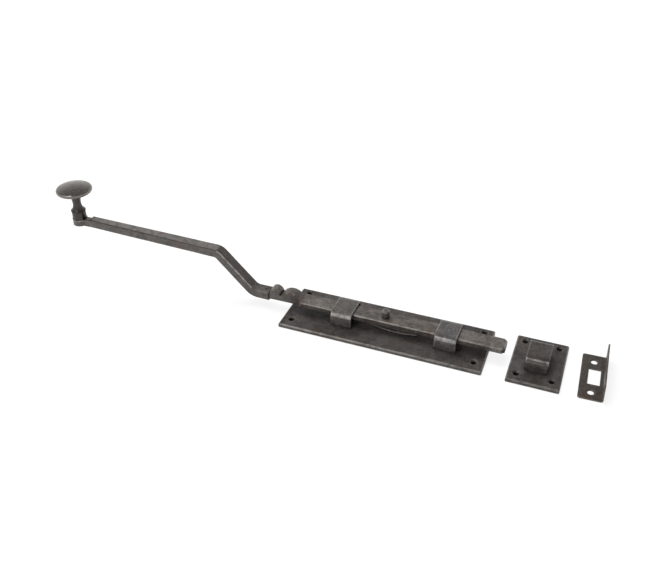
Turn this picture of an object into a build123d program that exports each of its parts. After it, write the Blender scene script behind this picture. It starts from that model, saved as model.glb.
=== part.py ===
from build123d import *

import os
from math import cos, radians, sin, sqrt, tan

os.makedirs("parts", exist_ok=True)

# French door bolt, a hand-forged set in millimetres: the bolt on its back plate, the receiver
# that its nose enters, and the angled keep for a flush edge.
# The origin is the centre of the back plate's underside. The bolt slides along X, with its
# nose towards +X, and the arm and knob stand away from the door along +Z.

# Plates
plate_length = 203.6
plate_width = 66.0
plate_thickness = 4.0
plate_bevel = 1.2
plate_corner = 1.5
hole_inset_x = 9.7
hole_inset_y = 9.5
hole_row_shift = 2.6

# Screw holes, for countersunk wood screws
screw_hole = 5.0
screw_sink = 7.4
sink_angle = 90.0

# Bolt bar
bar_width = 18.0
bar_thickness = 6.0
bar_above_plate = 6.5
shoulder_inset = 11.8
nose_reach = 15.5
nose_clip = 3.0
bar_edge = 1.0
bar_foot_edge = 0.5

# Neck with its two bumps, filed on the end of the bar
neck_width = 12.0
neck_length = 33.5
bump_radius = 6.4
bump_rise = 6.2
swell_radius = 13.0
swell_setback = 9.6
neck_edge = 1.0

# Straps, bent from flat strip, with tenons through the plate
strap_width = 21.6
strap_sheet = 2.3
strap_bend_radius = 5.6
strap_edge = 0.5
rear_strap_inset = 59.4
front_strap_inset = 39.8
side_clearance = 3.9
top_clearance = 0.25
tenon_width = 14.0
tenon_fit = 0.02

# Crank arm, measured along its underside from the neck
arm_thickness = 9.4
arm_root_width = 13.2
arm_end_width = 9.6
arm_foot_drop = 2.5
arm_lower_run = 20.6
arm_rise = 37.9
arm_slope = 45.0
arm_long_run = 150.0
arm_climb = 1.05
lower_bend_radius = 17.5
upper_bend_radius = 4.6
arm_edge = 0.9
eye_radius = 7.9
eye_thickness = 7.0
eye_offset = 14.9
eye_edge = 0.6

# Joint of neck and arm
spigot_diameter = 5.0
spigot_margin = 0.4
spigot_length = 9.0
pin_diameter = 2.6
pin_setback = 5.0
fit_gap = 0.1

# Stop pin and bow spring
stop_travel = 26.7
stop_diameter = 7.8
stop_height = 7.8
stop_chamfer = 0.9
tail_diameter = 4.0
tail_flare = 0.8
spring_width = 12.0
spring_thickness = 1.0
spring_lead = 16.5
spring_tab = 10.0
bow_reach = 29.5
bow_return = 20.5
spring_kink = 5.0
stud_diameter = 4.0
stud_height = 3.0
running_gap = 0.3

# Knob, turned about its own upright axis
knob_radius = 18.7
knob_dome_height = 5.3
knob_under_height = 4.5
knob_rim_height = 33.5
rim_round_radius = 1.5
rim_wrap = 65.0
crown_cuts = 4
rim_cuts = 4
under_cuts = 2
flare_cuts = 3
cove_cuts = 2
collar_radius = 7.3
collar_height = 8.4
bead_radius = 7.8
bead_height = 1.8
stem_radius = 4.4
stem_waist_height = 17.2
flare_radius = 6.8
knob_tail_radius = 3.5
rivet_radius = 4.8
rivet_height = 1.0

# Receiver plate and its bridge
receiver_length = 49.0
receiver_width = 68.0
receiver_gap = 21.4
receiver_shift = 1.5
receiver_inset_x = 8.5
receiver_inset_y = 9.3

# Angled keep, laid beside the receiver, a little out of square
keep_flat_width = 22.7
keep_length = 63.4
keep_sheet = 1.6
keep_flange_width = 19.1
keep_bend_radius = 2.4
keep_corner_radius = 2.4
keep_lean = 3.0
keep_gap = 15.2
keep_shift = 0.8
keep_turn = 1.9
keep_hole_diameter = 5.6
keep_sink_diameter = 7.4
keep_hole_from_end = 9.9
keep_hole_from_edge = 11.1
slot_width = 10.8
slot_length = 22.0
slot_from_edge = 7.2

# Heights and places that follow from the sizes above
plate_end = plate_length / 2
rear_strap_x = -plate_end + rear_strap_inset
front_strap_x = plate_end - front_strap_inset
bar_bottom = plate_thickness + bar_above_plate
bar_top = bar_bottom + bar_thickness
bar_left = -plate_end + shoulder_inset
nose_x = plate_end + nose_reach
neck_left = bar_left - neck_length
bump_peak = bar_top + bump_rise
strap_inner = bar_width + 2 * side_clearance
strap_outer = strap_inner + 2 * strap_sheet
strap_under = bar_top + top_clearance
strap_top = strap_under + strap_sheet
tenon_y = (strap_outer - strap_sheet) / 2
stop_x = rear_strap_x + strap_width / 2 + stop_travel + stop_diameter / 2
bow_left = stop_x - spring_lead
spring_left = bow_left - spring_tab
stud_x = spring_left + spring_tab / 2
receiver_x = plate_end + receiver_gap + receiver_length / 2
keep_x = receiver_x + receiver_length / 2 + keep_gap


# Plates with countersunk corners and slots for tenons

def bevelled_plate(centre, size, hole_spacing, strap_centres):
    """A plate lying on z = 0 with bevelled top edges, four screw holes and slots for the tenons."""
    with BuildPart() as plate:
        with BuildSketch():
            with Locations(centre):
                RectangleRounded(size[0], size[1], plate_corner)
        extrude(amount=plate_thickness)
        chamfer(plate.faces().sort_by(Axis.Z)[-1].edges(), plate_bevel)
        with Locations((centre[0], hole_row_shift, plate_thickness)):
            with GridLocations(hole_spacing[0], hole_spacing[1], 2, 2):
                CounterSinkHole(screw_hole / 2, screw_sink / 2, counter_sink_angle=sink_angle)
        with BuildSketch():
            for strap_centre in strap_centres:
                with Locations((strap_centre, tenon_y), (strap_centre, -tenon_y)):
                    Rectangle(tenon_width + 2 * tenon_fit, strap_sheet + 2 * tenon_fit)
        extrude(amount=plate_thickness, mode=Mode.SUBTRACT)
    return plate


def bent_strap(centre):
    """A strip bent over the bar, standing on the plate with two tenons through it."""
    with BuildPart() as strap:
        with BuildSketch(Plane.YZ.offset(centre - strap_width / 2)):
            with Locations((0, plate_thickness)):
                Rectangle(strap_outer, strap_top - plate_thickness, align=(Align.CENTER, Align.MIN))
            with Locations((0, plate_thickness)):
                Rectangle(strap_inner, strap_under - plate_thickness,
                          align=(Align.CENTER, Align.MIN), mode=Mode.SUBTRACT)
        extrude(amount=strap_width)
        along = strap.edges().filter_by(Axis.X)
        outer = along.group_by(Axis.Z)[-1]
        inner = along.group_by(Axis.Z)[-2]
        fillet(outer, strap_bend_radius)
        fillet(inner, strap_bend_radius - strap_sheet)
        ends = strap.faces().filter_by(Axis.X)
        rim = ends.edges().filter_by(lambda edge: edge.bounding_box().max.Z > plate_thickness + strap_edge)
        rim = rim.filter_by(lambda edge: abs(edge.center().Y) > strap_inner / 2 or edge.center().Z > strap_under)
        chamfer(rim, strap_edge)
        with BuildSketch(Plane.XY):
            with Locations((centre, tenon_y), (centre, -tenon_y)):
                Rectangle(tenon_width, strap_sheet)
        extrude(amount=plate_thickness)
    return strap


back_plate = bevelled_plate((0, 0), (plate_length, plate_width),
                            (plate_length - 2 * hole_inset_x, plate_width - 2 * hole_inset_y),
                            (rear_strap_x, front_strap_x))
rear_strap = bent_strap(rear_strap_x)
front_strap = bent_strap(front_strap_x)

# Bolt bar: flat bar with a clipped nose, the neck's two bumps and the spigot for the arm

spigot_z = bar_bottom + spigot_diameter / 2 + spigot_margin

with BuildPart() as scroll:
    with BuildSketch(Plane.XZ):
        with Locations((neck_left + bump_radius, bump_peak - bump_radius)):
            Circle(bump_radius)
    extrude(amount=neck_width / 2, both=True)
    chamfer(scroll.edges().filter_by(GeomType.CIRCLE), neck_edge)
    split(bisect_by=Plane.XY.offset(bar_bottom), keep=Keep.TOP)

with BuildPart() as swell:
    with BuildSketch(Plane.XZ):
        with Locations((bar_left - swell_setback, bump_peak - swell_radius)):
            Circle(swell_radius)
        with Locations((bar_left - swell_setback, bar_bottom)):
            Rectangle(2 * swell_radius, 2 * swell_radius, align=(Align.CENTER, Align.MIN),
                      mode=Mode.INTERSECT)
    extrude(amount=neck_width / 2, both=True)
    chamfer(swell.edges().filter_by(GeomType.CIRCLE), neck_edge)

with BuildPart() as bolt_bar:
    with BuildSketch(Plane.XY.offset(bar_bottom)):
        with Locations(((bar_left + nose_x) / 2, 0)):
            Rectangle(nose_x - bar_left, bar_width)
    extrude(amount=bar_thickness)
    chamfer(bolt_bar.edges().filter_by(Axis.Z).group_by(Axis.X)[-1], nose_clip)
    fillet(bolt_bar.edges().filter_by(Axis.Z).group_by(Axis.X)[0], nose_clip)
    chamfer(bolt_bar.faces().sort_by(Axis.Z)[-1].edges(), bar_edge)
    chamfer(bolt_bar.faces().sort_by(Axis.Z)[0].edges(), bar_foot_edge)
    with BuildSketch(Plane.XY.offset(bar_bottom)):
        with Locations((neck_left, 0)):
            Rectangle(neck_length + nose_clip, neck_width, align=(Align.MIN, Align.CENTER))
    extrude(amount=bar_thickness)
    add(scroll.part)
    add(swell.part)
    with BuildSketch(Plane.YZ.offset(neck_left)):
        with Locations((0, spigot_z)):
            Circle(spigot_diameter / 2)
    extrude(amount=-spigot_length)
    with BuildSketch():
        with Locations((neck_left - pin_setback, 0)):
            Circle(pin_diameter / 2 + fit_gap)
        with Locations((stop_x, 0)):
            Circle(tail_diameter / 2 + fit_gap)
    extrude(amount=bar_top * 2, mode=Mode.SUBTRACT)
    chamfer(bolt_bar.edges().filter_by(GeomType.CIRCLE).sort_by_distance((stop_x, 0, bar_bottom))[0], tail_flare)
    with BuildSketch(Plane.XY.offset(bar_bottom)):
        with Locations((stud_x, 0)):
            Circle(stud_diameter / 2 + fit_gap)
    extrude(amount=stud_height + fit_gap, mode=Mode.SUBTRACT)

# Crank arm: a tapering bar with two bends, flattened into an eye under the knob

arm_bottom = bar_bottom - arm_foot_drop
crank_low = (neck_left - arm_lower_run, arm_bottom)
crank_high = (crank_low[0] - arm_rise / tan(radians(arm_slope)), arm_bottom + arm_rise)
arm_end = (crank_high[0] - arm_long_run * cos(radians(arm_climb)),
           crank_high[1] + arm_long_run * sin(radians(arm_climb)))
eye_x = arm_end[0] - eye_offset
eye_bottom = arm_end[1]
eye_top = eye_bottom + eye_thickness

with BuildPart() as crank_arm:
    with BuildSketch(Plane.XZ):
        with BuildLine():
            underside = FilletPolyline((neck_left, arm_bottom), crank_low, crank_high, arm_end,
                                       radius=(lower_bend_radius, upper_bend_radius))
            offset(underside, amount=arm_thickness, side=Side.RIGHT)
        make_face()
    extrude(amount=arm_root_width, both=True)
    with BuildSketch():
        with BuildLine():
            Polyline((neck_left, -arm_root_width / 2), (arm_end[0] - eye_radius, -arm_end_width / 2),
                     (arm_end[0] - eye_radius, arm_end_width / 2), (neck_left, arm_root_width / 2),
                     close=True)
        make_face()
    extrude(amount=2 * (eye_top + arm_thickness), mode=Mode.INTERSECT)
    side_faces = crank_arm.faces().filter_by(lambda face: abs(face.center().Y) > arm_end_width / 4)
    chamfer(side_faces.edges().filter_by(lambda edge: edge.length > arm_thickness + arm_edge), arm_edge)
    with BuildSketch(Plane.XY.offset(eye_bottom)):
        with Locations((eye_x, 0)):
            Circle(eye_radius)
        with Locations((arm_end[0] + arm_edge, 0)):
            Rectangle(eye_offset + arm_edge, arm_end_width - 2 * eye_edge, align=(Align.MAX, Align.CENTER))
    extrude(amount=eye_thickness)
    with BuildSketch():
        with Locations((eye_x, 0)):
            Circle(knob_tail_radius + fit_gap)
    extrude(amount=2 * eye_top, mode=Mode.SUBTRACT)
    with BuildSketch(Plane.YZ.offset(neck_left)):
        with Locations((0, spigot_z)):
            Circle(spigot_diameter / 2 + fit_gap)
    extrude(amount=-(spigot_length + fit_gap), mode=Mode.SUBTRACT)
    with BuildSketch():
        with Locations((neck_left - pin_setback, 0)):
            Circle(pin_diameter / 2 + fit_gap)
    extrude(amount=arm_bottom + arm_thickness + fit_gap, mode=Mode.SUBTRACT)

with BuildPart() as arm_pin:
    with BuildSketch(Plane.XY.offset(arm_bottom)):
        with Locations((neck_left - pin_setback, 0)):
            Circle(pin_diameter / 2)
    extrude(amount=arm_thickness)

# Stop pin, its tail peened flush under the bar, and the bow spring that rubs on the plate

stop_plane = Plane(origin=(stop_x, 0, bar_top), x_dir=(1, 0, 0), z_dir=(0, -1, 0))

with BuildPart() as stop_pin:
    with BuildSketch(stop_plane):
        with BuildLine():
            Polyline((0, stop_height), (stop_diameter / 2 - stop_chamfer, stop_height),
                     (stop_diameter / 2, stop_height - stop_chamfer), (stop_diameter / 2, 0),
                     (tail_diameter / 2, 0), (tail_diameter / 2, tail_flare - bar_thickness),
                     (tail_diameter / 2 + tail_flare, -bar_thickness), (0, -bar_thickness), close=True)
        make_face()
    revolve(axis=Axis(stop_plane.origin, (0, 0, 1)))

bow_z = plate_thickness + running_gap + spring_thickness
bow_radius = (bow_reach ** 2 + (bar_bottom - bow_z) ** 2) / (2 * (bar_bottom - bow_z))
bow_x = bow_left + bow_reach
tip = (bow_x + bow_return, bow_z + bow_radius - sqrt(bow_radius ** 2 - bow_return ** 2))

with BuildPart() as bow_spring:
    with BuildSketch(Plane.XZ):
        with BuildLine():
            tab = Line((spring_left, bar_bottom), (bow_left, bar_bottom))
            ThreePointArc(tab @ 1, (bow_x, bow_z), tip)
            offset(amount=spring_thickness, side=Side.RIGHT)
        make_face()
    extrude(amount=spring_width / 2, both=True)
    kink = bow_spring.edges().filter_by(Axis.Y).filter_by_position(
        Axis.X, bow_left - spring_thickness, bow_left + spring_thickness)
    fillet(kink, spring_kink)
    with BuildSketch(Plane.XY.offset(bar_bottom)):
        with Locations((stud_x, 0)):
            Circle(stud_diameter / 2)
    extrude(amount=stud_height)

# Knob: mushroom head on a waisted stem with a beaded collar, its tail peened under the eye.
# Its curves are turned in short straight cuts.

def cuts(arc, count):
    """The points where an arc's straight cuts meet, from its start to its end."""
    return [arc @ (i / count) for i in range(count + 1)]


knob_plane = Plane(origin=(eye_x, 0, eye_top), x_dir=(1, 0, 0), z_dir=(0, -1, 0))
rim_centre = Vector(knob_radius - rim_round_radius, knob_rim_height)
crown_radius = ((rim_centre.X ** 2 + knob_dome_height ** 2 - rim_round_radius ** 2)
                / (2 * (knob_dome_height - rim_round_radius)))
crown_centre = Vector(0, knob_rim_height + knob_dome_height - crown_radius)
rim_start = crown_centre + (rim_centre - crown_centre).normalized() * crown_radius
rim_stop = rim_centre + Vector(cos(radians(rim_wrap)), -sin(radians(rim_wrap))) * rim_round_radius
flare_top = (flare_radius, knob_rim_height - knob_under_height)
waist = (stem_radius, stem_waist_height)
bead_top = (bead_radius - bead_height / 2, collar_height + bead_height)
rivet_end = -eye_thickness - rivet_height

with BuildPart() as knob:
    with BuildSketch(knob_plane):
        with BuildLine():
            crown = TangentArc((0, knob_rim_height + knob_dome_height), rim_start, tangent=(1, 0),
                               mode=Mode.PRIVATE)
            rim = ThreePointArc(rim_start, (knob_radius, knob_rim_height), rim_stop, mode=Mode.PRIVATE)
            under = TangentArc(rim_stop, flare_top, tangent=rim % 1, mode=Mode.PRIVATE)
            flare = TangentArc(waist, flare_top, tangent=(0, 1), mode=Mode.PRIVATE)
            cove = TangentArc(waist, bead_top, tangent=(0, -1), mode=Mode.PRIVATE)
            Polyline(*cuts(crown, crown_cuts), *cuts(rim, rim_cuts)[1:], *cuts(under, under_cuts)[1:],
                     *cuts(flare, flare_cuts)[-2::-1], *cuts(cove, cove_cuts)[1:],
                     (bead_radius, collar_height + bead_height / 2), (collar_radius, collar_height),
                     (collar_radius, 0), (knob_tail_radius, 0), (knob_tail_radius, -eye_thickness),
                     (rivet_radius, -eye_thickness), (rivet_radius - rivet_height, rivet_end),
                     (0, rivet_end), close=True)
        make_face()
    revolve(axis=Axis(knob_plane.origin, (0, 0, 1)))

# Receiver: a shorter plate with one bridge, in line with the bolt

receiver_plate = bevelled_plate((receiver_x, receiver_shift), (receiver_length, receiver_width),
                                (receiver_length - 2 * receiver_inset_x,
                                 receiver_width - 2 * receiver_inset_y), (receiver_x,))
receiver_bridge = bent_strap(receiver_x)

# Angled keep: thin sheet bent up along one side, with a slot and two screw holes

turn = radians(keep_turn)
keep_base = Plane(origin=(keep_x, keep_shift - keep_length / 2, 0), x_dir=(cos(turn), sin(turn), 0),
                  z_dir=(0, 0, 1))
keep_side = Plane(origin=keep_base.origin, x_dir=keep_base.x_dir, z_dir=-keep_base.y_dir)
keep_tip = (keep_flat_width - keep_flange_width * tan(radians(keep_lean)), keep_flange_width)

with BuildPart() as angled_keep:
    with BuildSketch(keep_side):
        with BuildLine():
            outside = FilletPolyline((0, 0), (keep_flat_width, 0), keep_tip, radius=keep_bend_radius)
            offset(outside, amount=keep_sheet, side=Side.LEFT)
        make_face()
    extrude(amount=-keep_length)
    upright = angled_keep.edges().filter_by(Axis.Z).sort_by(Axis.X)[:2]
    flange_end = angled_keep.faces().sort_by(Axis.Z)[-1]
    across = flange_end.edges().sort_by(SortBy.LENGTH)[:2]
    fillet(upright, keep_corner_radius)
    fillet(across, keep_corner_radius)
    with Locations(keep_base.offset(keep_sheet)):
        with Locations((keep_hole_from_edge, keep_hole_from_end),
                       (keep_hole_from_edge, keep_length - keep_hole_from_end)):
            CounterSinkHole(keep_hole_diameter / 2, keep_sink_diameter / 2,
                            counter_sink_angle=sink_angle)
    with BuildSketch(keep_base):
        with Locations((slot_from_edge + slot_width / 2, keep_length / 2)):
            Rectangle(slot_width, slot_length)
    extrude(amount=keep_sheet, mode=Mode.SUBTRACT)

back_plate.part.label = "back_plate"
rear_strap.part.label = "rear_strap"
front_strap.part.label = "front_strap"
bolt_bar.part.label = "bolt_bar"
crank_arm.part.label = "crank_arm"
arm_pin.part.label = "arm_pin"
stop_pin.part.label = "stop_pin"
bow_spring.part.label = "bow_spring"
knob.part.label = "knob"
receiver_plate.part.label = "receiver_plate"
receiver_bridge.part.label = "receiver_bridge"
angled_keep.part.label = "angled_keep"

export_step(back_plate.part, "parts/back_plate.step")
export_step(rear_strap.part, "parts/rear_strap.step")
export_step(front_strap.part, "parts/front_strap.step")
export_step(bolt_bar.part, "parts/bolt_bar.step")
export_step(crank_arm.part, "parts/crank_arm.step")
export_step(arm_pin.part, "parts/arm_pin.step")
export_step(stop_pin.part, "parts/stop_pin.step")
export_step(bow_spring.part, "parts/bow_spring.step")
export_step(knob.part, "parts/knob.step")
export_step(receiver_plate.part, "parts/receiver_plate.step")
export_step(receiver_bridge.part, "parts/receiver_bridge.step")
export_step(angled_keep.part, "parts/angled_keep.step")
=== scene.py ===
"""A hand-forged French door bolt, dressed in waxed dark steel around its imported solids."""

import logging
import math
from dataclasses import dataclass
from enum import Enum
from functools import cache

import bmesh
import bpy
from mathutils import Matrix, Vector, noise
from mathutils.bvhtree import BVHTree


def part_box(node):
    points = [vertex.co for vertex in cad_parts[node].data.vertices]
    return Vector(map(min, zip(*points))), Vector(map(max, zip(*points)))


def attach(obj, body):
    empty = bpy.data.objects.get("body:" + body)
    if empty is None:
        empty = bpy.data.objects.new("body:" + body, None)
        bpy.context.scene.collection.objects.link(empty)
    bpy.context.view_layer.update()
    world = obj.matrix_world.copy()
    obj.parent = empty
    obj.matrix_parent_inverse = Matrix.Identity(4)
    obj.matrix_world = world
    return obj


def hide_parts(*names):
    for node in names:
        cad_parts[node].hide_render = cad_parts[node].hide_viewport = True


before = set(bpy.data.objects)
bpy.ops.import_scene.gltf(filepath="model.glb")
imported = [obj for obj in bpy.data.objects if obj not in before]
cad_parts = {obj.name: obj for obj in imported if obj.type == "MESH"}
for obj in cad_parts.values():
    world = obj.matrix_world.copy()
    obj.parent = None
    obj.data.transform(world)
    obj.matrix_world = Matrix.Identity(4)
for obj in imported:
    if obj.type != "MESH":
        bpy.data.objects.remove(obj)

log = logging.getLogger("door_bolt")

# Lengths are in metres and angles in radians; the camera's sensor is in millimetres.
MM = 0.001
MERGE_DISTANCE = 0.002 * MM
CUT_TOLERANCE = 0.001 * MM
FLAT_ANGLE = math.radians(1.0)
SHARP_ANGLE = math.radians(28.0)
SMOOTH_ANGLE = math.radians(34.0)
SEAM_REACH = 1.6 * MM
GOLDEN_TURN = math.pi * (3.0 - math.sqrt(5.0))
FULLY_WORN_ANGLE = 0.27
SQUARE_ON = 0.95
STRAIGHT = 1e-6
WAVES_PER_DENT = 0.4
DOOR_SIDE = 0.5 * MM
SENSOR_WIDTH = 36.0
NEAREST_SHOWN = 0.01
WHITE = (1.0, 1.0, 1.0, 1.0)


def linear(hex_colour: str) -> tuple[float, float, float, float]:
    """Turns a screen colour into the linear values that a shader takes.

    Args:
        hex_colour: Six hexadecimal digits, red first.

    Returns:
        Red, green, blue and an alpha of one.
    """
    channels = [int(hex_colour[i:i + 2], 16) / 255 for i in (0, 2, 4)]
    values = [c / 12.92 if c <= 0.04045 else ((c + 0.055) / 1.055) ** 2.4 for c in channels]
    return (*values, 1.0)


def grey(value: float) -> tuple[float, float, float, float]:
    """Gives a shader's grey.

    Args:
        value: Its linear value.

    Returns:
        Three equal channels and an alpha of one.
    """
    return (value, value, value, 1.0)


class Grain(Enum):
    """Which way the file and hammer marks of a surface run, as stretches of the pattern."""

    ALONG_X = (0.07, 1.0, 1.0)
    ALONG_Y = (1.0, 0.07, 1.0)
    EVEN = (1.0, 1.0, 1.0)


class Scale(float, Enum):
    """How many marks of each kind a finish has per metre."""

    DRIFT = 26.0
    PATCHES = 70.0
    MOTTLE = 150.0
    SPARKS = 190.0
    SPECKS = 250.0
    GRAINS = 560.0
    BRUSHED = 1300.0


class NodeSheet:
    """A node tree, with short calls for the kinds of node that the finishes use."""

    def __init__(self, tree: bpy.types.NodeTree) -> None:
        """Takes hold of a tree.

        Args:
            tree: The tree of a material or of the world.
        """
        self.tree = tree

    def add(self, kind: str, **settings: object) -> bpy.types.Node:
        """Adds a node and sets its properties.

        Args:
            kind: The node's type, without its ShaderNode prefix.
            **settings: Properties of the node.

        Returns:
            The new node.
        """
        node = self.tree.nodes.new("ShaderNode" + kind)
        for name, value in settings.items():
            setattr(node, name, value)
        return node

    def feed(self, socket: bpy.types.NodeSocket, value: object) -> None:
        """Links an output to a socket, or sets the socket's own value.

        Args:
            socket: The input.
            value: An output socket, a number or a colour.
        """
        if isinstance(value, bpy.types.NodeSocket):
            self.tree.links.new(value, socket)
        else:
            socket.default_value = value

    def place(self, stretch: tuple[float, float, float], offset: float) -> bpy.types.NodeSocket:
        """Gives object coordinates, stretched along the grain.

        Args:
            stretch: Scale along each axis.
            offset: A shift in metres, so that two finishes don't share one pattern.

        Returns:
            The coordinates.
        """
        coordinates = self.add("TexCoord")
        mapping = self.add("Mapping")
        mapping.inputs["Scale"].default_value = stretch
        mapping.inputs["Location"].default_value = (offset, offset / 2, -offset)
        self.feed(mapping.inputs["Vector"], coordinates.outputs["Object"])
        return mapping.outputs["Vector"]

    def noise(self, vector: bpy.types.NodeSocket, scale: float, detail: float = 3.0,
              distortion: float = 0.0) -> bpy.types.NodeSocket:
        """Adds cloudy noise.

        Args:
            vector: The coordinates.
            scale: Clouds per metre.
            detail: Octaves.
            distortion: How far the clouds are stirred.

        Returns:
            The noise, about a half.
        """
        node = self.add("TexNoise")
        self.feed(node.inputs["Vector"], vector)
        node.inputs["Scale"].default_value = scale
        node.inputs["Detail"].default_value = detail
        node.inputs["Distortion"].default_value = distortion
        return node.outputs["Fac"]

    def pits(self, vector: bpy.types.NodeSocket, scale: float) -> bpy.types.NodeSocket:
        """Adds small round spots.

        Args:
            vector: The coordinates.
            scale: Spots per metre.

        Returns:
            The distance from the nearest spot's middle.
        """
        node = self.add("TexVoronoi", feature="F1")
        self.feed(node.inputs["Vector"], vector)
        node.inputs["Scale"].default_value = scale
        return node.outputs["Distance"]

    def attribute(self, name: str) -> bpy.types.NodeSocket:
        """Reads a number that the mesh carries.

        Args:
            name: The attribute.

        Returns:
            Its value.
        """
        return self.add("Attribute", attribute_name=name).outputs["Fac"]

    def fade(self, value: bpy.types.NodeSocket, start: float, end: float, low: float = 0.0,
             high: float = 1.0) -> bpy.types.NodeSocket:
        """Maps a value smoothly from one range to another.

        Args:
            value: What is mapped.
            start: Where the low end lies.
            end: Where the high end lies.
            low: The result at the start.
            high: The result at the end.

        Returns:
            The mapped value.
        """
        node = self.add("MapRange", interpolation_type="SMOOTHSTEP")
        self.feed(node.inputs["Value"], value)
        limits = {"From Min": start, "From Max": end, "To Min": low, "To Max": high}
        for name, number in limits.items():
            node.inputs[name].default_value = number
        return node.outputs["Result"]

    def sum(self, operation: str, first: object, second: object) -> bpy.types.NodeSocket:
        """Works out one sum on two values, kept between nought and one.

        Args:
            operation: The sum, as the Math node names it.
            first: A socket or a number.
            second: A socket or a number.

        Returns:
            The result.
        """
        node = self.add("Math", operation=operation, use_clamp=True)
        self.feed(node.inputs[0], first)
        self.feed(node.inputs[1], second)
        return node.outputs[0]

    def mix(self, amount: object, first: object, second: object) -> bpy.types.NodeSocket:
        """Mixes two colours.

        Args:
            amount: The second colour's share.
            first: The colour at nought.
            second: The colour at one.

        Returns:
            The mixed colour.
        """
        node = self.add("Mix", data_type="RGBA")
        self.feed(node.inputs["Factor"], amount)
        self.feed(node.inputs["A"], first)
        self.feed(node.inputs["B"], second)
        return node.outputs["Result"]

    def seen(self) -> bpy.types.NodeSocket:
        """Tells the rays that see the background from those that only light the bolt.

        Returns:
            One for camera, glossy and transmission rays.
        """
        path = self.add("LightPath")
        glossy, passed = path.outputs["Is Glossy Ray"], path.outputs["Is Transmission Ray"]
        indirect = self.sum("MAXIMUM", glossy, passed)
        return self.sum("MAXIMUM", path.outputs["Is Camera Ray"], indirect)


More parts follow.
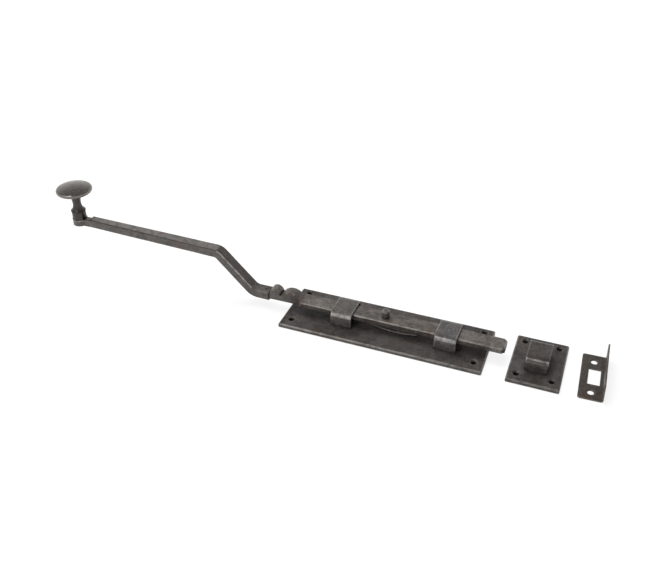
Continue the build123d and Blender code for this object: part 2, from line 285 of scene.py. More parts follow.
@dataclass(frozen=True)
class WaxedSteel:
    """Forged steel, darkened and waxed, rubbed bright along its edges, and carrying painted
    highlights, sheen and shade in the same tones.

    Args:
        name: The material's name.
        dark: The deeper of the two tones that drift over the surface.
        light: The lighter one.
        worn_and_sheen: The tone of rubbed edges, and of painted highlights and sheen.
        rust: The tone of the brown patches.
        wax_and_shade: The tone of wax left in corners, holes and pits, and of painted shade.
        grain: Which way the marks run.
        metallic: How far the steel shows through the wax.
        roughness: The surface's middle roughness.
        streak: How strongly the file's lines show.
        rub_and_sheen: How strongly the rubbed edges, painted highlights and sheen show.
        least_rub: The share of the rubbing, painted highlights and sheen that its dullest patches
            get.
        browning: How strongly the brown patches show.
        relief: Depth of the marks in metres.
        offset: A shift of the patterns in metres.
    """

    name: str
    dark: str
    light: str
    worn_and_sheen: str
    rust: str = "55443b"
    wax_and_shade: str = "17120f"
    grain: Grain = Grain.EVEN
    metallic: float = 0.45
    roughness: float = 0.44
    streak: float = 0.35
    rub_and_sheen: float = 0.8
    least_rub: float = 0.35
    browning: float = 0.5
    relief: float = 0.28 * MM
    offset: float = 0.0

    def colour(self, sheet: NodeSheet, drift: bpy.types.NodeSocket, mottle: bpy.types.NodeSocket,
               fine: bpy.types.NodeSocket, edge: bpy.types.NodeSocket) -> bpy.types.NodeSocket:
        """Mixes the surface's tones.

        Args:
            sheet: The material's nodes.
            drift: Clouds as wide as a strap.
            mottle: Clouds a few millimetres wide.
            fine: Grains of about a millimetre.
            edge: How far the surface is lightened, by rubbing and by painted highlights and sheen.

        Returns:
            The colour.
        """
        even = Grain.EVEN.value
        brushed = sheet.noise(sheet.place(self.grain.value, self.offset), Scale.BRUSHED, 2.0)
        patches = sheet.noise(sheet.place(even, self.offset + 0.5), Scale.PATCHES, 3.0, 0.8)
        speck = sheet.pits(sheet.place(even, self.offset), Scale.SPECKS)
        spark = sheet.pits(sheet.place(even, self.offset + 0.2), Scale.SPARKS)

        cloud = sheet.fade(drift, 0.4, 0.6, 0.0, 0.3)
        for finer in (mottle, fine):
            cloud = sheet.sum("ADD", cloud, sheet.fade(finer, 0.4, 0.6, 0.0, 0.35))
        skin = sheet.mix(cloud, linear(self.dark), linear(self.light))
        skin = sheet.mix(sheet.fade(brushed, 0.5, 0.75, 0.0, self.streak), skin, linear(self.light))
        skin = sheet.mix(sheet.fade(brushed, 0.28, 0.46, self.streak, 0.0), skin, linear(self.dark))
        brown = sheet.sum("MULTIPLY", sheet.fade(patches, 0.5, 0.68, 0.0, self.browning),
                          sheet.fade(fine, 0.35, 0.6, 0.4, 1.0))
        skin = sheet.mix(brown, skin, linear(self.rust))
        pitted = sheet.sum("MULTIPLY", sheet.fade(speck, 0.05, 0.25, 0.6, 0.0),
                           sheet.fade(mottle, 0.4, 0.6))
        skin = sheet.mix(pitted, skin, linear(self.wax_and_shade))
        bright = sheet.sum("MULTIPLY", sheet.fade(spark, 0.04, 0.16, 0.7, 0.0),
                           sheet.fade(drift, 0.5, 0.66))
        # Sparks, rubbed edges, painted highlights and painted sheen take the worn tone.
        skin = sheet.mix(sheet.sum("MAXIMUM", bright, edge), skin, linear(self.worn_and_sheen))
        # Wax in crevices, dark joints and painted shade take the wax tone.
        waxed_and_shaded = sheet.fade(sheet.attribute("wax_and_shade_share"), 0.3, 0.8)
        return sheet.mix(waxed_and_shaded, skin, linear(self.wax_and_shade))

    @cache
    def material(self) -> bpy.types.Material:
        """Builds the finish, once.

        Returns:
            The material.
        """
        material = bpy.data.materials.new(self.name)
        material.use_nodes = True
        sheet = NodeSheet(material.node_tree)
        shader = sheet.tree.nodes["Principled BSDF"]
        plain = sheet.place(Grain.EVEN.value, self.offset)
        drift = sheet.noise(plain, Scale.DRIFT, 2.0)
        mottle = sheet.noise(plain, Scale.MOTTLE, 4.0, 0.6)
        fine = sheet.noise(plain, Scale.GRAINS, 3.0)
        # The edge mask carries rubbing, painted highlights and painted sheen from the wear values.
        edge = sheet.sum("MULTIPLY", sheet.fade(sheet.attribute("wear_and_sheen"), 0.55, 1.0, 0.0, self.rub_and_sheen),
                         sheet.fade(mottle, 0.34, 0.6, self.least_rub, 1.0))
        sheet.feed(shader.inputs["Base Color"], self.colour(sheet, drift, mottle, fine, edge))

        shine = sheet.fade(fine, 0.3, 0.7, self.roughness - 0.07, self.roughness + 0.09)
        shine = sheet.sum("ADD", shine, sheet.fade(mottle, 0.3, 0.7, 0.0, 0.06))
        shine = sheet.sum("SUBTRACT", shine, sheet.sum("MULTIPLY", edge, 0.1))
        sheet.feed(shader.inputs["Roughness"], shine)
        shader.inputs["Metallic"].default_value = self.metallic
        shader.inputs["Coat Weight"].default_value = 0.1
        shader.inputs["Coat Roughness"].default_value = 0.36

        height = sheet.sum("ADD", sheet.fade(mottle, 0.2, 0.8, 0.0, 0.6),
                           sheet.fade(fine, 0.2, 0.8, 0.0, 0.35))
        bump = sheet.add("Bump")
        bump.inputs["Strength"].default_value = 0.6
        bump.inputs["Distance"].default_value = self.relief
        sheet.feed(bump.inputs["Height"], height)
        sheet.feed(shader.inputs["Normal"], bump.outputs["Normal"])
        return material


class Steel(Enum):
    """The finishes of the set, by the piece that they cover."""

    PLATE = WaxedSteel("plate_waxed_steel", "332f2d", "5e5a58", "a29c95", grain=Grain.ALONG_X,
                       rub_and_sheen=0.6)
    STRAP = WaxedSteel("strap_waxed_steel", "464240", "76716e", "b6afa9", grain=Grain.ALONG_Y,
                       offset=0.31, metallic=0.5, roughness=0.36, browning=0.3)
    FRONT_STRAP = WaxedSteel("front_strap_waxed_steel", "444241", "737070", "b4b0ad",
                             grain=Grain.ALONG_Y, offset=0.31, metallic=0.5, roughness=0.36,
                             browning=0.15)
    BRIDGE = WaxedSteel("bridge_waxed_steel", "3a3533", "5c5653", "b2aba4", grain=Grain.ALONG_Y,
                        offset=0.67, metallic=0.5, roughness=0.36, browning=0.4)
    BAR = WaxedSteel("bar_waxed_steel", "45403d", "817b75", "a69f98", grain=Grain.ALONG_X,
                     offset=0.12, streak=0.5, rub_and_sheen=0.7, browning=0.75, relief=0.4 * MM)
    ARM = WaxedSteel("arm_waxed_steel", "3a3634", "6c6763", "bfbab5", grain=Grain.ALONG_X,
                     offset=0.57, streak=0.6, browning=0.6)
    KNOB = WaxedSteel("knob_waxed_steel", "5e5954", "706b66", "827e79", offset=0.74,
                      roughness=0.36, metallic=0.85, streak=0.0, browning=0.25, rub_and_sheen=1.0,
                      least_rub=0.75, relief=0.02 * MM)
    PIN = WaxedSteel("pin_waxed_steel", "4c4845", "6f6b67", "a39d97", offset=0.4)
    DARK_PIN = WaxedSteel("dark_pin_waxed_steel", "26221f", "3b3633", "6b645e", offset=0.44)
    SPRING = WaxedSteel("spring_waxed_steel", "5a5653", "8b8681", "aaa49d", grain=Grain.ALONG_X,
                        offset=0.9)
    KEEP = WaxedSteel("keep_waxed_steel", "3a3431", "565049", "837b75", grain=Grain.ALONG_Y,
                      offset=0.21, rub_and_sheen=0.5, browning=0.8)


@dataclass(frozen=True)
class Hammering:
    """How the hammer and the file left a surface: broad waves and shallow dents.

    Args:
        broad: Depth of the waves in metres.
        dent: Depth of the dents in metres.
        spacing: Distance between dents in metres.
        seed: A shift that sets one piece's marks apart from another's.
    """

    broad: float = 0.12 * MM
    dent: float = 0.07 * MM
    spacing: float = 9.0 * MM
    seed: float = 0.0

    def depth(self, place: Vector) -> float:
        """Gives how far the surface lies under the solid's at one place.

        Args:
            place: A point on the solid.

        Returns:
            The depth in metres, never less than nought.
        """
        at = place / self.spacing + Vector((self.seed, 2 * self.seed, -self.seed))
        wave = 0.5 + 0.5 * noise.noise(at * WAVES_PER_DENT)
        near = noise.voronoi(at)[0][0]
        return self.broad * min(1.0, max(0.0, wave)) + self.dent * max(0.0, 1.0 - near * near)


class Body(Enum):
    """The two bodies of the set, by the name that the joint knows them by."""

    FIXED = "root"
    SLIDING = "bolt"

    @cache
    def solids(self) -> BVHTree:
        """Gives one search tree of all the body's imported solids."""
        return search_tree(*BODY_NODES[self.value])


BODY_NODES = {
    "root": ("back_plate", "rear_strap", "front_strap",
             "receiver_plate", "receiver_bridge", "angled_keep"),
    "bolt": ("bolt_bar", "crank_arm", "arm_pin", "stop_pin", "bow_spring", "knob"),
}


def search_tree(*nodes: str) -> BVHTree:
    """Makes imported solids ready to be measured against.

    Args:
        *nodes: The solids.

    Returns:
        One search tree of them all.
    """
    bm = bmesh.new()
    for node in nodes:
        bm.from_mesh(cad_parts[node].data)
    tree = BVHTree.FromBMesh(bm)
    bm.free()
    return tree


@dataclass(frozen=True)
class Cavities:
    """Finds how deep each spot of a surface lies among the pieces of its body, where wax is left
    and painted shade falls.

    Args:
        reach: How far away a piece still counts, in metres.
        lift: How far off the surface the search starts, in metres.
        looks: How many ways it looks.
    """

    reach: float = 3.5 * MM
    lift: float = 0.35 * MM
    looks: int = 14

    def fan(self) -> list[Vector]:
        """Spreads the ways to look evenly over the half sphere about +Z.

        Returns:
            Unit vectors.
        """
        ways = []
        for i in range(self.looks):
            height = math.sqrt((i + 0.5) / self.looks)
            flat = math.sqrt(1.0 - height * height)
            turn = i * GOLDEN_TURN
            ways.append(Vector((flat * math.cos(turn), flat * math.sin(turn), height)))
        return ways

    def mark(self, bm: bmesh.types.BMesh, body: Body) -> None:
        """Writes the blocked share of each vertex's outlook to the layer named hollow, which the
        finish shows as wax and painted shade.

        Args:
            bm: The mesh, before it is hammered.
            body: The body whose pieces block the outlook.
        """
        layer = bm.verts.layers.float.new("wax_and_shade_share")
        tree, ways, up = body.solids(), self.fan(), Vector((0.0, 0.0, 1.0))
        for vert in bm.verts:
            turn = up.rotation_difference(vert.normal)
            start = vert.co + vert.normal * self.lift
            hits = sum(tree.ray_cast(start, turn @ way, self.reach)[0] is not None for way in ways)
            vert[layer] = hits / self.looks


@dataclass
class Forging:
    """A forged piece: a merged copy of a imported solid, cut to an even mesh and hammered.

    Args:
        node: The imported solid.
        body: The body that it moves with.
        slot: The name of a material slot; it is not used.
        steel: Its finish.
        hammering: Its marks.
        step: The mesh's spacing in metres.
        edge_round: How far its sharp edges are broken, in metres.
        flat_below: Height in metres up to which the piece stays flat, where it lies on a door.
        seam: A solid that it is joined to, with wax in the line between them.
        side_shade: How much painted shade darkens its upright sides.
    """

    node: str
    body: Body
    slot: str
    steel: Steel
    hammering: Hammering
    step: float = 2.4 * MM
    edge_round: float = 0.28 * MM
    flat_below: float = -1.0
    seam: str = ""
    side_shade: float = 0.0

    def merged(self) -> bmesh.types.BMesh:
        """Copies the solid's mesh, joins its triangles and takes out the lines inside flat faces.

        Returns:
            The joined mesh.
        """
        bm = bmesh.new()
        bm.from_mesh(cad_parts[self.node].data)
        bmesh.ops.remove_doubles(bm, verts=bm.verts, dist=MERGE_DISTANCE)
        bmesh.ops.dissolve_degenerate(bm, edges=bm.edges, dist=MERGE_DISTANCE)
        bmesh.ops.dissolve_limit(bm, angle_limit=FLAT_ANGLE, verts=bm.verts, edges=bm.edges,
                                 use_dissolve_boundaries=False)
        return bm

    def break_edges(self, bm: bmesh.types.BMesh) -> None:
        """Rounds the sharp outer edges a little.

        Args:
            bm: The joined mesh.
        """
        sharp = [e for e in bm.edges if e.is_manifold and e.calc_face_angle_signed() > SHARP_ANGLE]
        bmesh.ops.bevel(bm, geom=sharp, offset=self.edge_round, offset_type="OFFSET", segments=2,
                        profile=0.5, affect="EDGES", clamp_overlap=True, material=-1)

    def cut_evenly(self, bm: bmesh.types.BMesh) -> None:
        """Cuts the mesh along all three axes at an even spacing.

        Args:
            bm: The mesh.
        """
        low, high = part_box(self.node)
        for axis in range(3):
            count = max(1, round((high[axis] - low[axis]) / self.step))
            normal = Vector([float(i == axis) for i in range(3)])
            for i in range(1, count):
                place = low.copy()
                place[axis] = low[axis] + (high[axis] - low[axis]) * i / count
                bmesh.ops.bisect_plane(bm, geom=bm.verts[:] + bm.edges[:] + bm.faces[:],
                                       dist=CUT_TOLERANCE, plane_co=place, plane_no=normal)

    def mark(self, bm: bmesh.types.BMesh) -> None:
        """Notes on each vertex how far it is rubbed bright, and how far wax, dark joints and
        painted shade darken it.

        Args:
            bm: The mesh, before it is hammered.
        """
        Cavities().mark(bm, self.body)
        wax_and_shade_share = bm.verts.layers.float["wax_and_shade_share"]
        wear_and_sheen = bm.verts.layers.float.new("wear_and_sheen")
        seam = search_tree(self.seam) if self.seam else None
        for vert in bm.verts:
            angles = [e.calc_face_angle_signed() for e in vert.link_edges if e.is_manifold]
            worn_and_sheen = min(1.0, max([0.0, *angles]) / FULLY_WORN_ANGLE)
            vert[wear_and_sheen] = worn_and_sheen * (1.0 - vert[wax_and_shade_share])
            # Upright sides are darkened as painted shade.
            if abs(vert.normal.y) > SQUARE_ON:
                vert[wax_and_shade_share] = max(vert[wax_and_shade_share], self.side_shade)
            gap = seam.find_nearest(vert.co, SEAM_REACH)[3] if seam else None
            if gap is not None:
                vert[wax_and_shade_share] = max(vert[wax_and_shade_share], 1.0 - gap / SEAM_REACH)

    def hammer(self, bm: bmesh.types.BMesh) -> None:
        """Sinks each vertex by the depth of the marks, so the piece stays inside its solid.

        Args:
            bm: The mesh.
        """
        bm.normal_update()
        moved = [v.co - v.normal * self.hammering.depth(v.co) for v in bm.verts]
        for vert, place in zip(bm.verts, moved):
            if vert.co.z > self.flat_below:
                vert.co = place

    def build(self) -> bpy.types.Object:
        """Builds the piece and puts it in place of its solid.

        Returns:
            The finished object.
        """
        bm = self.merged()
        self.break_edges(bm)
        self.cut_evenly(bm)
        bmesh.ops.triangulate(bm, faces=bm.faces, quad_method="BEAUTY", ngon_method="BEAUTY")
        bm.normal_update()
        self.mark(bm)
        self.hammer(bm)
        return dress(bm, self.node, self.body, self.steel)


@dataclass
class BentStrap(Forging):
    """A strap with rubbed edges, a painted highlight along its bends and painted sheen on its outer
    upright faces.

    Args:
        bend_highlight: How bright the painted highlight along its bends is.
        face_sheen: How far its upright outer faces are lightened, as painted sheen.
        edge_rub: The share of the rubbing that its cut edges get.
        highlighted: Where on the bend the painted highlight lies, as two shares of its turn.
        edge_from: How far the surface turns sideways where a cut edge starts.
        edge_to: How far it does where the bands on the bends and faces end.
    """

    bend_highlight: float = 0.9
    face_sheen: float = 0.66
    edge_rub: float = 1.0
    highlighted: tuple[float, float] = (0.62, 0.95)
    edge_from: float = 0.2
    edge_to: float = 0.6

    def mark(self, bm: bmesh.types.BMesh) -> None:
        """Paints a highlight along the bends and sheen on the outer upright faces.

        Args:
            bm: The mesh, before it is hammered.
        """
        super().mark(bm)
        wear_and_sheen = bm.verts.layers.float["wear_and_sheen"]
        low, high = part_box(self.node)
        middle = (low.y + high.y) / 2.0
        for vert in bm.verts:
            sideways, turned = abs(vert.normal.x), abs(vert.normal.y)
            if sideways > self.edge_from:
                vert[wear_and_sheen] *= self.edge_rub
            if (vert.co.y - middle) * vert.normal.y <= 0.0 or sideways > self.edge_to:
                continue
            # Painted highlight along the bend.
            if self.highlighted[0] < turned < self.highlighted[1]:
                vert[wear_and_sheen] = max(vert[wear_and_sheen], self.bend_highlight)
            # Painted sheen on the outer upright faces.
            elif turned > SQUARE_ON:
                vert[wear_and_sheen] = max(vert[wear_and_sheen], self.face_sheen)


@dataclass
class NeckedBar(Forging):
    """The bar, whose bumpy neck is painted darker than the rest, with painted shade on its upright
    sides.

    Args:
        shoulder: X where the neck begins, in metres.
        neck_darkening: How much the neck is darkened on top.
        neck_side_shade: How much painted shade darkens its upright sides.
        sheltered: X of the rear strap, left of which the edges are hardly rubbed, in metres.
        sheltered_rub: How far those edges are rubbed at most.
    """

    shoulder: float = -90.0 * MM
    neck_darkening: float = 0.44
    neck_side_shade: float = 0.53
    sheltered: float = -53.0 * MM
    sheltered_rub: float = 0.72

    def mark(self, bm: bmesh.types.BMesh) -> None:
        """Darkens the neck, with painted shade on its upright sides, and dulls the edges as far as
        the rear strap.

        Args:
            bm: The mesh, before it is hammered.
        """
        super().mark(bm)
        wear_and_sheen, wax_and_shade_share = bm.verts.layers.float["wear_and_sheen"], bm.verts.layers.float["wax_and_shade_share"]
        for vert in bm.verts:
            if vert.co.x < self.sheltered:
                vert[wear_and_sheen] = min(vert[wear_and_sheen], self.sheltered_rub)
            # The neck is darkened, and its upright sides more, as painted shade.
            if vert.co.x < self.shoulder:
                upright = abs(vert.normal.y) > SQUARE_ON
                wax_and_shade = self.neck_side_shade if upright else self.neck_darkening
                vert[wax_and_shade_share] = max(vert[wax_and_shade_share], wax_and_shade)


@dataclass
class CrankForging(Forging):
    """The arm, with painted light and shade: its long run lighter on top and darker along its
    edges, its slope darker on top with a highlight along its upper edges.

    Args:
        elbow: X of the upper bend, in metres.
        foot: X of the lower bend, in metres.
        hand_wear_and_sheen: How far the top of the long run is lightened, by hand wear and painted
            sheen.
        line: How much painted shade darkens the edges of the long run, and the lower edges of the
            slope.
        slope_shade: How much painted shade darkens the top of the slope.
        edge_from: How far the surface turns out of a face where its rounded edge starts.
        edge_down: How far an edge of the slope may face down and still get the painted highlight.
    """

    elbow: float = -180.0 * MM
    foot: float = -142.5 * MM
    hand_wear_and_sheen: float = 0.67
    line: float = 0.62
    slope_shade: float = 0.5
    edge_from: float = 0.3
    edge_down: float = 0.2

    def mark(self, bm: bmesh.types.BMesh) -> None:
        """Paints sheen on the long run's top, shade along its edges and on the slope's top, and a
        highlight along the slope's upper edges.

        Args:
            bm: The mesh, before it is hammered.
        """
        super().mark(bm)
        wear_and_sheen, wax_and_shade_share = bm.verts.layers.float["wear_and_sheen"], bm.verts.layers.float["wax_and_shade_share"]
        for vert in bm.verts:
            side, up = abs(vert.normal.y), vert.normal.z
            if vert.co.x < self.elbow:
                # Top of the long run: hand wear and painted sheen; its edges: painted shade.
                if up > SQUARE_ON:
                    vert[wear_and_sheen] = self.hand_wear_and_sheen
                elif up > self.edge_from:
                    vert[wear_and_sheen], vert[wax_and_shade_share] = 0.0, max(vert[wax_and_shade_share], self.line)
            elif vert.co.x > self.foot:
                vert[wear_and_sheen] = 0.0
            elif side > SQUARE_ON:
                # The slope's upright faces lose their wax and painted shade, so they read lighter.
                vert[wax_and_shade_share] = 0.0
            elif side > self.edge_from:
                # Upper edges of the slope get a painted highlight, lower ones painted shade.
                highlighted = up > -self.edge_down
                vert[wear_and_sheen], vert[wax_and_shade_share] = (1.0, 0.0) if highlighted else (0.0, self.line)
            # Top of the slope: painted shade.
            elif up > 2 * self.edge_from:
                vert[wear_and_sheen], vert[wax_and_shade_share] = 0.0, max(vert[wax_and_shade_share], self.slope_shade)


def dress(bm: bmesh.types.BMesh, node: str, body: Body,
          steel: Steel) -> bpy.types.Object:
    """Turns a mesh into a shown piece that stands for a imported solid.

    Args:
        bm: The mesh, which is freed.
        node: The solid that it stands for.
        body: The body that it moves with.
        steel: Its finish.

    Returns:
        The object.
    """
    mesh = bpy.data.meshes.new(node + "_skin")
    bm.to_mesh(mesh)
    bm.free()
    mesh.shade_smooth()
    mesh.set_sharp_from_angle(angle=SMOOTH_ANGLE)
    piece = bpy.data.objects.new(node + "_forged", mesh)
    bpy.context.scene.collection.objects.link(piece)
    mesh.materials.append(steel.value.material())
    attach(piece, body.value)
    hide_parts(node)
    log.info("%s: %d vertices", piece.name, len(mesh.vertices))
    return piece


@dataclass(frozen=True)
class Turning:
    """The knob, turned from its outline: head, waisted stem, bead, collar and peened tail.

    Args:
        head: The head's radius in metres.
        rim: Height of the rim's middle above the arm's eye.
        dome: How high the crown stands above the rim.
        under: How far the head's underside hangs below the rim.
        edge: Radius of the rim's rounding.
        wrap: How far the rim's rounding turns under, in degrees.
        flare: The stem's radius under the head.
        waist: The stem's least radius.
        waist_height: Height of that radius.
        collar: The collar's radius.
        collar_height: Its height.
        bead: The bead's radius.
        bead_height: Its height.
        tail: The tail's radius in the eye.
        tail_length: Its length.
        rivet: Radius of its peened end.
        rivet_height: Its height.
        hand_wear_and_sheen: How far the crown is lightened, by hand wear and painted sheen.
        rim_wear_and_sheen: How far the rim's middle is lightened, as a share of that.
        stem_shade: How much painted shade darkens the stem and the collar.
        turns: Steps round the knob.
    """

    head: float = 18.7 * MM
    rim: float = 33.5 * MM
    dome: float = 5.3 * MM
    under: float = 4.5 * MM
    edge: float = 2.5 * MM
    wrap: float = 65.0
    flare: float = 6.8 * MM
    waist: float = 4.4 * MM
    waist_height: float = 17.2 * MM
    collar: float = 7.3 * MM
    collar_height: float = 8.4 * MM
    bead: float = 7.8 * MM
    bead_height: float = 1.8 * MM
    tail: float = 3.5 * MM
    tail_length: float = 7.0 * MM
    rivet: float = 4.8 * MM
    rivet_height: float = 1.0 * MM
    hand_wear_and_sheen: float = 0.92
    rim_wear_and_sheen: float = 0.8
    stem_shade: float = 0.6
    turns: int = 96

    def outline(self) -> list[Vector]:
        """Draws half of the knob's section, from its top to the end of its tail.

        Returns:
            Points of radius and height.
        """
        middle = Vector((self.head - self.edge, self.rim))
        crown = (middle.x ** 2 + self.dome ** 2 - self.edge ** 2) / (2.0 * (self.dome - self.edge))
        centre = Vector((0.0, self.rim + self.dome - crown))
        rim_top = centre + (middle - centre).normalized() * crown
        down = math.radians(self.wrap)
        rim_end = middle + Vector((math.cos(down), -math.sin(down))) * self.edge
        flare_top = Vector((self.flare, self.rim - self.under))
        waist = Vector((self.waist, self.waist_height))
        bead_top = Vector((self.bead - self.bead_height / 2.0,
                           self.collar_height + self.bead_height))
        stem = arc(waist, Vector((0.0, 1.0)), flare_top, 8)
        points = arc(Vector((0.0, self.rim + self.dome)), Vector((1.0, 0.0)), rim_top, 14)
        points += arc(rim_top, (rim_top - centre).orthogonal() * -1.0, rim_end, 8)[1:]
        points += arc(rim_end, Vector((-math.sin(down), -math.cos(down))), flare_top, 8)[1:]
        points += stem[-2::-1]
        points += arc(waist, Vector((0.0, -1.0)), bead_top, 6)[1:]
        points += arc(bead_top, Vector((1.0, 0.0)), Vector((bead_top.x, self.collar_height)), 6)[1:]
        foot_edge, bottom = 0.4 * MM, -self.tail_length - self.rivet_height
        points += [Vector(p) for p in ((self.collar, self.collar_height - foot_edge / 2.0),
                                       (self.collar, foot_edge), (self.collar - foot_edge, 0.0),
                                       (self.tail, 0.0), (self.tail, -self.tail_length),
                                       (self.rivet, -self.tail_length),
                                       (self.rivet - self.rivet_height, bottom), (0.0, bottom))]
        return points

    def build(self, hammering: Hammering) -> bpy.types.Object:
        """Turns the outline about the knob's axis.

        Args:
            hammering: The marks left on it.

        Returns:
            The knob.
        """
        low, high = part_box("knob")
        foot = (low + high) / 2.0
        foot.z = high.z - self.rim - self.dome
        bm = bmesh.new()
        verts = [bm.verts.new(foot + Vector((p.x, 0.0, p.y))) for p in self.outline()]
        edges = [bm.edges.new(pair) for pair in zip(verts, verts[1:])]
        bmesh.ops.spin(bm, geom=verts + edges, cent=foot, axis=(0.0, 0.0, 1.0),
                       angle=math.tau, steps=self.turns, use_merge=True)
        bmesh.ops.remove_doubles(bm, verts=bm.verts, dist=MERGE_DISTANCE)
        bmesh.ops.recalc_face_normals(bm, faces=bm.faces)
        bm.normal_update()
        knob = Forging("knob", Body.SLIDING, "knob_steel", Steel.KNOB, hammering)
        knob.mark(bm)
        wear_and_sheen, wax_and_shade_share = bm.verts.layers.float["wear_and_sheen"], bm.verts.layers.float["wax_and_shade_share"]
        for vert in bm.verts:
            # Painted shade on the stem and collar, below the head.
            if vert.co.z < foot.z + self.rim - self.under / 2.0:
                vert[wax_and_shade_share] = max(vert[wax_and_shade_share], self.stem_shade)
            # The crown lightens towards its top, by hand wear and painted sheen.
            above = (vert.co.z - foot.z - self.rim) / self.edge
            vert[wear_and_sheen] = self.hand_wear_and_sheen * min(1.0, max(0.0, self.rim_wear_and_sheen + above))
        knob.hammer(bm)
        return dress(bm, knob.node, knob.body, knob.steel)


def arc(start: Vector, heading: Vector, end: Vector, count: int) -> list[Vector]:
    """Draws an arc of a circle that leaves its start in a given direction.

    Args:
        start: Where it starts.
        heading: The direction in which it sets out.
        end: Where it ends.
        count: How many steps it takes.

    Returns:
        Its points, both ends included.
    """
    chord = end - start
    lean = heading.angle_signed(chord)
    if abs(lean) < STRAIGHT:
        return [start.lerp(end, i / count) for i in range(count + 1)]
    radius = chord.length / (2.0 * math.sin(lean))
    out = Vector((heading.y, -heading.x)).normalized() * radius
    centre, spoke = start + out, -out
    points = []
    for i in range(count + 1):
        turn = -2.0 * lean * i / count
        points.append(centre + Vector((spoke.x * math.cos(turn) - spoke.y * math.sin(turn),
                                       spoke.x * math.sin(turn) + spoke.y * math.cos(turn))))
    return points


@dataclass
class BackPlateSet:
    """The back plate and the two straps that the bar slides through.

    Args:
        strap_marks: Distance between the straps' dents in metres.
    """

    strap_marks: float = 6.0 * MM

    def build(self) -> None:
        """Builds the plate and its straps."""
        Forging("back_plate", Body.FIXED, "plate_steel", Steel.PLATE, Hammering(seed=1.0),
                flat_below=DOOR_SIDE).build()
        # Each strap's painted highlight lies at its own place on the bend.
        for node, steel, seed, highlighted in (("rear_strap", Steel.STRAP, 3.7, (0.78, 0.97)),
                                          ("front_strap", Steel.FRONT_STRAP, 4.7, (0.62, 0.95))):
            BentStrap(node, Body.FIXED, "strap_steel", steel,
                      Hammering(spacing=self.strap_marks, seed=seed), step=1.8 * MM,
                      flat_below=DOOR_SIDE, edge_rub=0.8, highlighted=highlighted).build()


@dataclass
class SlidingBolt:
    """The bar, its arm and knob, and what they carry.

    Args:
        bar_wave: Depth of the bar's broad waves in metres.
        arm_wave: Depth of the arm's.
        smooth: The marks of the pins and the spring.
        pin_step: Mesh spacing of the pins in metres.
    """

    bar_wave: float = 0.25 * MM
    arm_wave: float = 0.2 * MM
    smooth: Hammering = Hammering(broad=0.05 * MM, dent=0.02 * MM, seed=13.0)
    pin_step: float = 1.2 * MM

    def build(self) -> None:
        """Builds the pieces that slide."""
        # The bar's and arm's upright sides are darkened as painted shade.
        NeckedBar("bolt_bar", Body.SLIDING, "bar_steel", Steel.BAR,
                  Hammering(broad=self.bar_wave, dent=0.12 * MM, spacing=7.0 * MM, seed=6.0),
                  step=2.0 * MM, seam="crank_arm", side_shade=0.46).build()
        CrankForging("crank_arm", Body.SLIDING, "arm_steel", Steel.ARM,
                     Hammering(broad=self.arm_wave, seed=9.0), step=2.2 * MM, seam="bolt_bar",
                     side_shade=0.36).build()
        Turning().build(Hammering(broad=0.1 * MM, dent=0.03 * MM, seed=11.0))
        for node, steel in (("arm_pin", Steel.DARK_PIN), ("stop_pin", Steel.PIN)):
            Forging(node, Body.SLIDING, "pin_steel", steel, self.smooth, self.pin_step).build()
        Forging("bow_spring", Body.SLIDING, "spring_steel", Steel.SPRING, self.smooth,
                step=2.0 * MM).build()


@dataclass
class Receiver:
    """The receiver plate and the bridge that takes the nose.

    Args:
        bridge_marks: Distance between the bridge's dents in metres.
    """

    bridge_marks: float = 6.0 * MM

    def build(self) -> None:
        """Builds the plate in the back plate's finish, and the bridge in its own."""
        Forging("receiver_plate", Body.FIXED, "plate_steel", Steel.PLATE, Hammering(seed=17.0),
                flat_below=DOOR_SIDE).build()
        # The bridge carries a painted highlight on its bend and painted sheen on its outer faces.
        BentStrap("receiver_bridge", Body.FIXED, "strap_steel", Steel.BRIDGE,
                  Hammering(spacing=self.bridge_marks, seed=19.0), step=1.8 * MM,
                  flat_below=DOOR_SIDE, bend_highlight=1.0, face_sheen=0.68, edge_rub=0.3,
                  highlighted=(0.62, 0.86)).build()


@dataclass
class AngledKeep:
    """The thin angle with its slot and two screw holes.

    Args:
        wave: Depth of its broad waves in metres.
    """

    wave: float = 0.1 * MM

    def build(self) -> None:
        """Builds the keep."""
        Forging("angled_keep", Body.FIXED, "keep_steel", Steel.KEEP,
                Hammering(broad=self.wave, dent=0.04 * MM, seed=21.0), edge_round=0.2 * MM,
                flat_below=0.2 * MM).build()


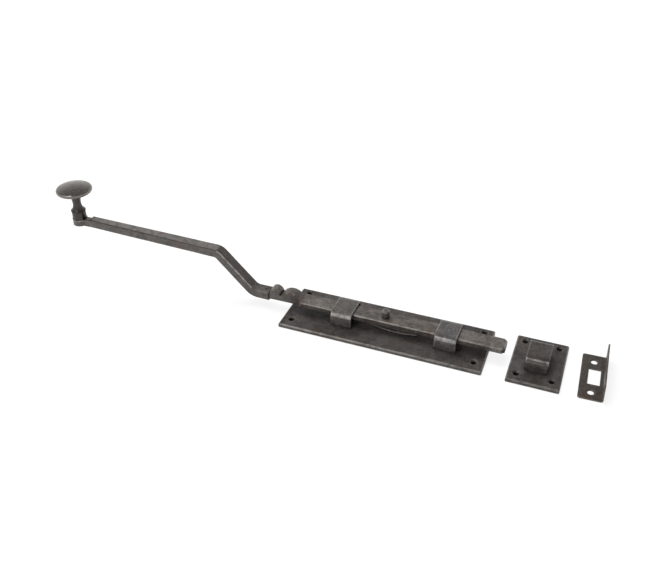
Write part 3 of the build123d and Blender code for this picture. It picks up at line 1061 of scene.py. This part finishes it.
@dataclass(frozen=True)
class SheetPaper:
    """A flat matt sheet of the table, that can shine by itself where it is seen.

    Args:
        name: The sheet's and its material's name.
        grey: How light it is.
        shown: How light it is to the camera.
        glow: How far it shines.
        plain: How far out the lamps light it well, in metres; beyond, it shines more.
    """

    name: str
    grey: float
    shown: float
    glow: float
    plain: float = 0.4

    @cache
    def material(self) -> bpy.types.Material:
        """Builds the sheet's material, once.

        Returns:
            The material.
        """
        material = bpy.data.materials.new(self.name)
        material.use_nodes = True
        sheet = NodeSheet(material.node_tree)
        sheet.tree.nodes.remove(sheet.tree.nodes["Principled BSDF"])
        paper = sheet.add("BsdfDiffuse")
        camera = sheet.add("LightPath").outputs["Is Camera Ray"]
        sheet.feed(paper.inputs["Color"], sheet.mix(camera, grey(self.grey), grey(self.shown)))
        glow = sheet.add("Emission")
        glow.inputs["Color"].default_value = WHITE
        radius = sheet.add("VectorMath", operation="LENGTH")
        sheet.feed(radius.inputs[0], sheet.place(Grain.EVEN.value, 0.0))
        outward = sheet.fade(radius.outputs["Value"], self.plain, 4.0 * self.plain, self.glow,
                             1.0 if self.glow else 0.0)
        sheet.feed(glow.inputs["Strength"], sheet.sum("MULTIPLY", sheet.seen(), outward))
        both = sheet.add("AddShader")
        sheet.feed(both.inputs[0], paper.outputs[0])
        sheet.feed(both.inputs[1], glow.outputs[0])
        sheet.feed(sheet.tree.nodes["Material Output"].inputs["Surface"], both.outputs[0])
        return material

    def lay(self, low: Vector, high: Vector, height: float) -> None:
        """Lays a rectangle of the sheet.

        Args:
            low: Its lowest X and Y.
            high: Its highest X and Y.
            height: Its Z.
        """
        bm = bmesh.new()
        bmesh.ops.create_grid(bm, x_segments=1, y_segments=1, size=0.5)
        bmesh.ops.scale(bm, verts=bm.verts, vec=(high.x - low.x, high.y - low.y, 1.0))
        middle = (low + high) / 2
        bmesh.ops.translate(bm, verts=bm.verts, vec=(middle.x, middle.y, height))
        mesh = bpy.data.meshes.new(self.name)
        bm.to_mesh(mesh)
        bm.free()
        mesh.materials.append(self.material())
        sheet = bpy.data.objects.new(self.name, mesh)
        bpy.context.scene.collection.objects.link(sheet)


@dataclass(frozen=True)
class Softbox:
    """A square soft lamp.

    Args:
        name: The lamp's name.
        place: Where it hangs, in metres.
        size: Its side in metres.
        power: Its power in watts.
        mirrored: Whether the steel mirrors it.
    """

    name: str
    place: tuple[float, float, float]
    size: float
    power: float
    mirrored: bool

    def hang(self, target: tuple[float, float, float]) -> None:
        """Adds the lamp, facing a target.

        Args:
            target: What it faces, in metres.
        """
        data = bpy.data.lights.new(self.name, "AREA")
        data.shape = "SQUARE"
        data.size = self.size
        data.energy = self.power
        lamp = bpy.data.objects.new(self.name, data)
        lamp.location = self.place
        lamp.visible_glossy = self.mirrored
        away = Vector(self.place) - Vector(target)
        lamp.rotation_euler = away.to_track_quat("Z", "Y").to_euler()
        bpy.context.scene.collection.objects.link(lamp)


@dataclass
class Studio:
    """The white table, the soft lamps and the camera at the photograph's angle.

    Args:
        image_width: The photograph's width in pixels.
        focal_pixels: The lens's focal length in those pixels.
        azimuth: How far the camera stands round to the right, in degrees.
        elevation: How high it looks from, in degrees.
        distance: How far it stands from its target, in metres.
        target: What it looks at, in metres.
        table_side: The table's side in metres.
        table_glow: How far the table shines by itself where it is seen.
        shade_inset: How far the dark sheets stay in from the plates' edges, in metres.
        ceiling: How bright the room is overhead, where one is white.
        fill: The share of the room's light that falls on the bolt.
        overhead: The lamp above the far side, which the steel doesn't mirror.
        front_left: The weaker lamp at the near left.
    """

    image_width: float = 665.0
    focal_pixels: float = 789.0
    azimuth: float = 21.1
    elevation: float = 35.6
    distance: float = 0.828
    target: tuple[float, float, float] = (-0.0715, 0.039, 0.0)
    table_side: float = 6.0
    table_glow: float = 0.82
    shade_inset: float = 1.5 * MM
    ceiling: float = 0.06
    fill: float = 0.45
    overhead: Softbox = Softbox("overhead_softbox", (-0.45, 0.55, 1.5), 1.2, 32.0, mirrored=False)
    front_left: Softbox = Softbox("front_left_softbox", (-0.46, -0.69, 0.9), 0.5, 4.6,
                                  mirrored=True)

    def camera(self) -> None:
        """Sets up the camera."""
        turn, tilt = math.radians(self.azimuth), math.radians(self.elevation)
        flat = math.cos(tilt)
        away = Vector((math.sin(turn) * flat, -math.cos(turn) * flat, math.sin(tilt)))
        data = bpy.data.cameras.new("camera")
        data.sensor_fit = "HORIZONTAL"
        data.sensor_width = SENSOR_WIDTH
        data.lens = self.focal_pixels / self.image_width * SENSOR_WIDTH
        data.clip_start = NEAREST_SHOWN
        camera = bpy.data.objects.new("camera", data)
        camera.location = Vector(self.target) + away * self.distance
        camera.rotation_euler = away.to_track_quat("Z", "Y").to_euler()
        bpy.context.scene.collection.objects.link(camera)
        bpy.context.scene.camera = camera

    def table(self) -> None:
        """Lays the white table, and dark sheets under the plates, so screw holes look deep."""
        white = SheetPaper("white_table", grey=0.34, shown=0.2, glow=self.table_glow)
        shade = SheetPaper("plate_shade", grey=0.004, shown=0.004, glow=0.0)
        side = self.table_side / 2
        white.lay(Vector((-side, -side)), Vector((side, side)), -0.05 * MM)
        for plate in ("back_plate", "receiver_plate"):
            low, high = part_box(plate)
            inset = Vector((self.shade_inset, self.shade_inset))
            shade.lay(low.xy + inset, high.xy - inset, -0.02 * MM)

    def world(self) -> None:
        """Surrounds the bolt with a softly lit white room under a dimmer ceiling."""
        world = bpy.data.worlds.new("surround")
        bpy.context.scene.world = world
        world.use_nodes = True
        sheet = NodeSheet(world.node_tree)
        background = sheet.tree.nodes["Background"]
        split = sheet.add("SeparateXYZ")
        sheet.feed(split.inputs[0], sheet.add("TexCoord").outputs["Generated"])
        colour = sheet.mix(sheet.fade(split.outputs["Z"], 0.15, 0.9), WHITE, grey(self.ceiling))
        sheet.feed(background.inputs["Color"], colour)
        strength = sheet.add("MapRange")
        strength.inputs["To Min"].default_value = self.fill
        strength.inputs["To Max"].default_value = 1.0
        sheet.feed(strength.inputs["Value"], sheet.seen())
        sheet.feed(background.inputs["Strength"], strength.outputs["Result"])

    def build(self) -> None:
        """Sets up the table, the lamps and the light around them."""
        bpy.context.scene.view_settings.view_transform = "Standard"
        self.table()
        self.world()
        for softbox in (self.overhead, self.front_left):
            softbox.hang(self.target)


def main() -> None:
    """Builds the set in order."""
    logging.basicConfig(level=logging.INFO, format="%(message)s")
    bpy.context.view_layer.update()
    studio = Studio()
    studio.camera()
    BackPlateSet().build()
    SlidingBolt().build()
    Receiver().build()
    AngledKeep().build()
    studio.build()


if __name__ == "__main__":
    main()
